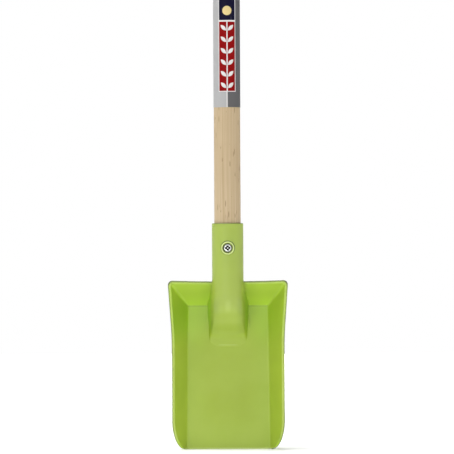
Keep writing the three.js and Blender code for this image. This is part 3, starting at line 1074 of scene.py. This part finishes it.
# depth of the cross recess at a point of the head
def recessAt(a, b):
    look = screwLook
    turned = Vector((a, b)) @ Vector((math.cos(look["turn"]), math.sin(look["turn"])))
    crossed = Vector((a, b)) @ Vector((-math.sin(look["turn"]), math.cos(look["turn"])))
    soft = look["recessSoft"]
    deepest = 0
    for along, across in ((turned, crossed), (crossed, turned)):
        share = abs(along) / look["armLength"]
        width = look["armWidth"] * (1 - look["armTaper"] * share)
        wall = 1 - smoothStep(width - soft, width + soft, abs(across))
        end = 1 - smoothStep(0.88, 1.0, share)
        deepest = max(deepest, wall * end * (1 - look["armRise"] * share))
    return look["recessDepth"] * deepest


def makeScrew():
    look = screwLook
    radius = (screwHigh.x - screwLow.x) / 2
    front = screwLow.y
    bm = bmesh.new()
    rings = []

    def addRing(reach, depth, cut=False):
        def place(a, b):
            return (a, depth + front + (recessAt(a, b) if cut else 0), screwZ + b)
        rings.append(roundRing(bm, reach, look["steps"], place))

    for i in range(1, look["rings"] + 1):
        share = i / look["rings"]
        fall = 1 - math.sqrt(1 - share ** look["headFullness"])
        addRing(radius * share, look["headRounding"] * fall, cut=True)
    shank = look["shankDiameter"] / 2
    head = look["headHeight"]
    end = screwHigh.y - front
    addRing(radius, head - look["edgeBreak"])
    addRing(radius - look["edgeBreak"], head)
    addRing(shank + look["shankFillet"], head)
    addRing(shank, head + look["shankFillet"])
    addRing(shank, end - look["pointLength"])
    addRing(look["pointRadius"], end - look["pointRadius"])
    bridgeRings(bm, rings)
    capRing(bm, rings[0], (0, front + recessAt(0, 0), screwZ))
    capRing(bm, rings[-1], (0, screwHigh.y, screwZ))
    finishPiece(pieceFromBmesh("socketScrew", bm), makeZincSteel(), "socket_screw")


makeScrew()


# camera: level, far away, framed as the photograph is

photo = {
    "pixels": 454,
    "pixelSize": 0.95 * mm,
    "bottom": -4.2 * mm,  # height at the lower edge of the picture
    "axisPixel": 227.55,  # column of the shaft at half height
    "roll": math.radians(0.3),
    "distance": 4.0,
    "sensor": 36,
    "clipEnd": 50,
}


def makeCamera():
    width = photo["pixels"] * photo["pixelSize"]
    camera = bpy.data.objects.new("camera", bpy.data.cameras.new("camera"))
    bpy.context.scene.collection.objects.link(camera)
    aside = (photo["pixels"] / 2 - photo["axisPixel"]) * photo["pixelSize"]
    camera.location = (aside, axisY - photo["distance"], photo["bottom"] + width / 2)
    camera.rotation_euler = (math.pi / 2, photo["roll"], 0)
    camera.data.sensor_width = photo["sensor"]
    camera.data.lens = photo["sensor"] * photo["distance"] / width
    camera.data.clip_end = photo["clipEnd"]
    bpy.context.scene.camera = camera


makeCamera()
print("camera set")


# studio: white floor and surroundings, dark cards behind, soft light from above and the front left

studio = {
    "floorSize": 6.0,
    "white": (0.94, 0.94, 0.94, 1),
    "floorRoughness": 0.9,
    "floorGlow": 1.0,  # further off the floor fades into the white background
    "glowReach": (0.3, 1.2),
    "surround": 0.49,
    "cardLeft": 0.5,
    "cardRight": 0.7,
    "cardEdge": (0.1, 0.3),
    "cardBack": (-0.1, 0.3),
    "aim": 0.2,
    "keyPlace": (-0.4, 0.0, 2.6),
    "keySpread": math.radians(30),
    "keyPower": 3.0,
    "fillPlace": (-0.8, -2.2, 0.3),
    "fillSize": 0.9,
    "fillPower": 5,
}


def addLight(name, kind, place, power):
    lamp = bpy.data.lights.new(name, kind)
    lamp.energy = power
    light = bpy.data.objects.new(name, lamp)
    light.location = place
    aim = Vector((0, axisY, studio["aim"])) - Vector(place)
    light.rotation_euler = aim.to_track_quat("-Z", "Y").to_euler()
    bpy.context.scene.collection.objects.link(light)
    return lamp


# rays that show a surface: straight, mirrored or through something clear
def raysToCamera(tree):
    rays = addNode(tree, "LightPath").outputs
    seen = math2(tree, "MAXIMUM", rays["Is Camera Ray"], rays["Is Transmission Ray"])
    return math2(tree, "MAXIMUM", seen, rays["Is Glossy Ray"])


def makeFloor():
    half = studio["floorSize"] / 2
    corners = ((-half, -half), (half, -half), (half, half), (-half, half))
    bm = bmesh.new()
    bm.faces.new([bm.verts.new((x, y, cadLow.z)) for x, y in corners])
    floor = pieceFromBmesh("floor", bm)
    material, tree, bsdf = newMaterial(
        "floorWhite", Roughness=studio["floorRoughness"], Base_Color=studio["white"],
        Emission_Color=(1, 1, 1, 1))
    away = lengthOf(tree, objectPlace(tree))
    glow = mapRange(tree, away, *studio["glowReach"], 0.0, studio["floorGlow"])
    strength = product(tree, raysToCamera(tree), glow)
    tree.links.new(strength, bsdf.inputs["Emission Strength"])
    floor.data.materials.append(material)


def makeSurround():
    world = bpy.data.worlds.new("surround")
    bpy.context.scene.world = world
    world.use_nodes = True
    tree = world.node_tree
    background = tree.nodes["Background"]
    background.inputs["Color"].default_value = (1, 1, 1, 1)
    seen = raysToCamera(tree)
    strength = mapRange(tree, seen, 0.0, 1.0, studio["surround"], 1.0, smooth=False)
    # dark cards behind on both sides, out of the picture, draw the edges
    split = splitVector(tree, addNode(tree, "TexCoord").outputs["Generated"])
    near, far = studio["cardEdge"]
    right = mapRange(tree, split[0], near, far, 0.0, studio["cardRight"])
    left = mapRange(tree, split[0], -far, -near, studio["cardLeft"], 0.0)
    behind = mapRange(tree, split[1], *studio["cardBack"])
    shade = product(tree, math2(tree, "ADD", right, left), behind)
    cards = math2(tree, "SUBTRACT", 1.0, shade)
    straight = addNode(tree, "LightPath").outputs["Is Camera Ray"]
    cards = math2(tree, "MAXIMUM", cards, straight)
    tree.links.new(product(tree, strength, cards), background.inputs["Strength"])


makeFloor()
makeSurround()
keyLamp = addLight("keyLight", "SUN", studio["keyPlace"], studio["keyPower"])
keyLamp.angle = studio["keySpread"]
fillLamp = addLight("fillLight", "AREA", studio["fillPlace"], studio["fillPower"])
fillLamp.size = studio["fillSize"]
bpy.context.scene.view_settings.view_transform = "Standard"
print("studio lit")
